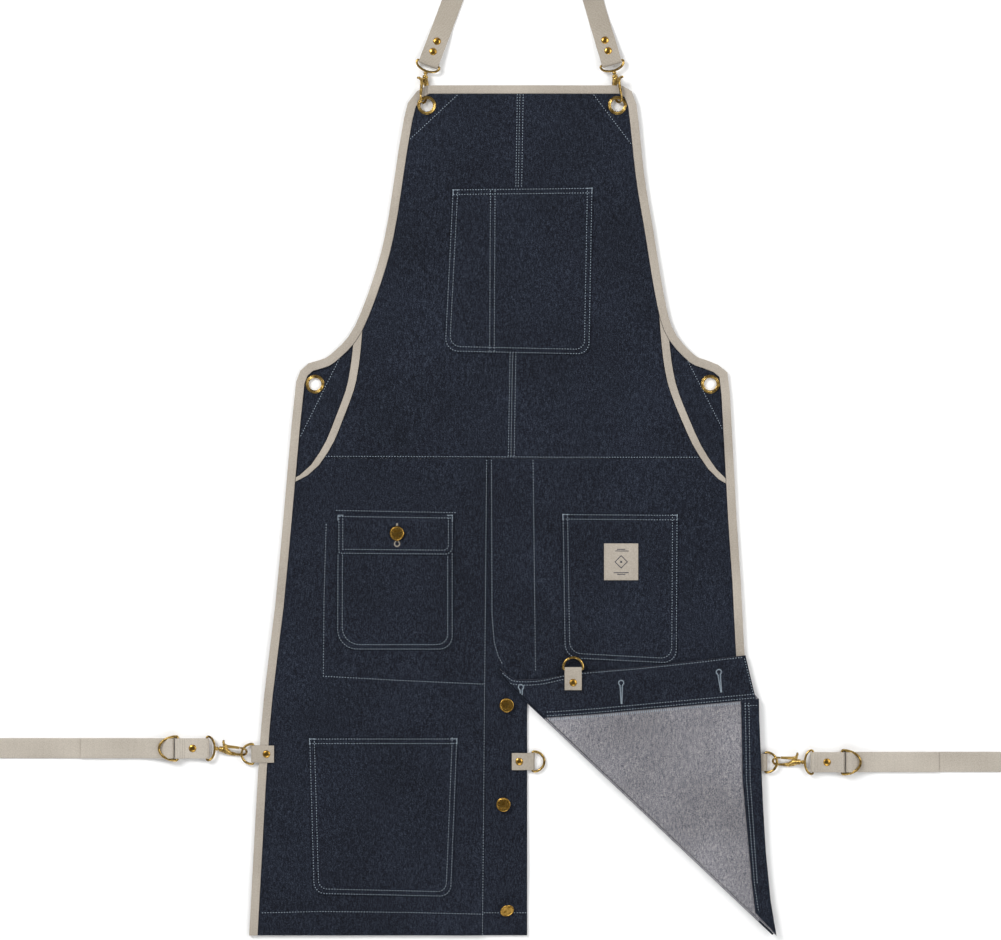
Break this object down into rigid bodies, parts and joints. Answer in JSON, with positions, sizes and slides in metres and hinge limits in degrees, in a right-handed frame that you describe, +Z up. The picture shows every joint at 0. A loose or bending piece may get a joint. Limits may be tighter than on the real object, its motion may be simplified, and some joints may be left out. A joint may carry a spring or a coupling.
{
  "type": "work apron",
  "caption": "Split-leg denim work apron lying flat, with tape-bound edges, patch pockets, a neck strap and leg straps on snap hooks, one lower corner turned up.",
  "frame": {"origin": "middle of the bounding box on the surface that the apron lies on", "axes": "+Y from the hem to the bib, +Z up out of the face, +X to the viewer's right looking down at the face"},
  "size_m": [1.5106, 1.335, 0.0175],
  "materials": {
    "denim": "dark indigo twill, matt",
    "canvas": "unbleached cotton tape, matt",
    "webbing": "natural cotton webbing, matt",
    "brass": "antique brass, worn"
  },
  "bodies": {
    "apron": {"bib_left": "denim", "bib_right": "denim", "leg_left": "denim", "button_strip": "denim", "leg_right": "denim", "wing_left": "denim", "wing_right": "denim", "bib_pocket": "denim", "flap_pocket": "denim", "lower_pocket": "denim", "right_pocket": "denim", "hidden_pocket": "denim", "tape_top": "canvas", "tape_left": "canvas", "tape_right": "canvas", "pocket_tape_left": "canvas", "pocket_tape_right": "canvas", "label": "canvas", "tab_outer_left": "canvas", "tab_inner_left": "canvas", "tab_outer_right": "canvas", "neck_strap": "webbing", "grommet_bib_left": "brass", "grommet_bib_right": "brass", "grommet_side_left": "brass", "grommet_side_right": "brass", "button_flap": "brass", "button_top": "brass", "button_middle": "brass", "button_bottom": "brass", "hook_neck_left": "brass", "eye_neck_left": "brass", "hook_neck_right": "brass", "eye_neck_right": "brass"},
    "flap": {"pocket_flap": "denim"},
    "corner": {"turned_corner": "denim", "buttonhole_band": "denim", "tab_inner_right": "canvas"},
    "corner_ring": {"ring_inner_right": "brass"},
    "inner_ring": {"ring_inner_left": "brass"},
    "outer_ring_left": {"ring_outer_left": "brass"},
    "outer_ring_right": {"ring_outer_right": "brass"},
    "leg_hook_left": {"hook_leg_left": "brass"},
    "leg_hook_right": {"hook_leg_right": "brass"},
    "leg_strap_left": {"eye_leg_left": "brass", "strap_end_left": "webbing", "slider_low_left": "brass", "slider_high_left": "brass", "leg_strap_left": "webbing"},
    "leg_strap_right": {"eye_leg_right": "brass", "strap_end_right": "webbing", "slider_low_right": "brass", "slider_high_right": "brass", "leg_strap_right": "webbing"},
    "far_snap_left": {"far_snap_left": "brass"},
    "far_snap_right": {"far_snap_right": "brass"},
    "trigger_neck_left": {"trigger_neck_left": "brass"},
    "trigger_neck_right": {"trigger_neck_right": "brass"},
    "trigger_leg_left": {"trigger_leg_left": "brass"},
    "trigger_leg_right": {"trigger_leg_right": "brass"}
  },
  "joints": [
    {"name": "corner_turn", "type": "hinge", "parent": "apron", "child": "corner", "pos_m": [0.1455, -0.50725, 0.0065], "axis": [0.7267, -0.687, 0], "range_deg": [0, 150]},
    {"name": "flap_lift", "type": "hinge", "parent": "apron", "child": "flap", "pos_m": [-0.14, -0.1635, 0.0049], "axis": [-1, 0, 0], "range_deg": [0, 150]},
    {"name": "far_snap_lift_left", "type": "hinge", "parent": "leg_strap_left", "child": "far_snap_left", "pos_m": [-0.706, -0.44315, 0.0034], "axis": [0, 1, 0], "range_deg": [0, 110]},
    {"name": "far_snap_lift_right", "type": "hinge", "parent": "leg_strap_right", "child": "far_snap_right", "pos_m": [0.706, -0.45968, 0.0034], "axis": [0, -1, 0], "range_deg": [0, 110]},
    {"name": "leg_ring_left", "type": "hinge", "parent": "apron", "child": "outer_ring_left", "pos_m": [-0.3115, -0.45, 0.0025], "axis": [0, 1, 0], "range_deg": [0, 80]},
    {"name": "leg_ring_right", "type": "hinge", "parent": "apron", "child": "outer_ring_right", "pos_m": [0.3025, -0.46, 0.0025], "axis": [0, -1, 0], "range_deg": [0, 80]},
    {"name": "leg_hook_swing_left", "type": "hinge", "parent": "outer_ring_left", "child": "leg_hook_left", "pos_m": [-0.3254, -0.4475, 0.0049], "axis": [0, 1, 0], "range_deg": [0, 12]},
    {"name": "leg_hook_swing_right", "type": "hinge", "parent": "outer_ring_right", "child": "leg_hook_right", "pos_m": [0.3164, -0.458, 0.0049], "axis": [0, -1, 0], "range_deg": [0, 10]},
    {"name": "leg_strap_swivel_left", "type": "hinge", "parent": "leg_hook_left", "child": "leg_strap_left", "pos_m": [-0.34126, -0.44501, 0.0049], "axis": [-0.9936, 0.1132, 0], "continuous": true},
    {"name": "leg_strap_swivel_right", "type": "hinge", "parent": "leg_hook_right", "child": "leg_strap_right", "pos_m": [0.33348, -0.45896, 0.0049], "axis": [0.999, -0.0436, 0], "continuous": true},
    {"name": "small_ring_corner", "type": "hinge", "parent": "corner", "child": "corner_ring", "pos_m": [0.072, -0.348, 0.008], "axis": [1, 0, 0], "range_deg": [0, 90]},
    {"name": "small_ring_strip", "type": "hinge", "parent": "apron", "child": "inner_ring", "pos_m": [0.0235, -0.459, 0.0025], "axis": [0, -1, 0], "range_deg": [0, 90]},
    {"name": "trigger_press_leg_left", "type": "hinge", "parent": "leg_hook_left", "child": "trigger_leg_left", "pos_m": [-0.34521, -0.43996, 0.00847], "axis": [0.0697, 0.6117, -0.788], "range_deg": [0, 12], "stiffness_Nm_per_rad": 0.05},
    {"name": "trigger_press_leg_right", "type": "hinge", "parent": "leg_hook_right", "child": "trigger_leg_right", "pos_m": [0.33817, -0.45459, 0.00847], "axis": [-0.0269, -0.6151, 0.788], "range_deg": [0, 12], "stiffness_Nm_per_rad": 0.05},
    {"name": "trigger_press_neck_left", "type": "hinge", "parent": "apron", "child": "trigger_neck_left", "pos_m": [-0.10903, 0.35721, 0.01053], "axis": [0.7952, -0.0738, 0.6018], "range_deg": [0, 5], "stiffness_Nm_per_rad": 0.05},
    {"name": "trigger_press_neck_right", "type": "hinge", "parent": "apron", "child": "trigger_neck_right", "pos_m": [0.12634, 0.358, 0.01053], "axis": [0.7865, 0.1387, -0.6018], "range_deg": [0, 5], "stiffness_Nm_per_rad": 0.05}
  ]
}
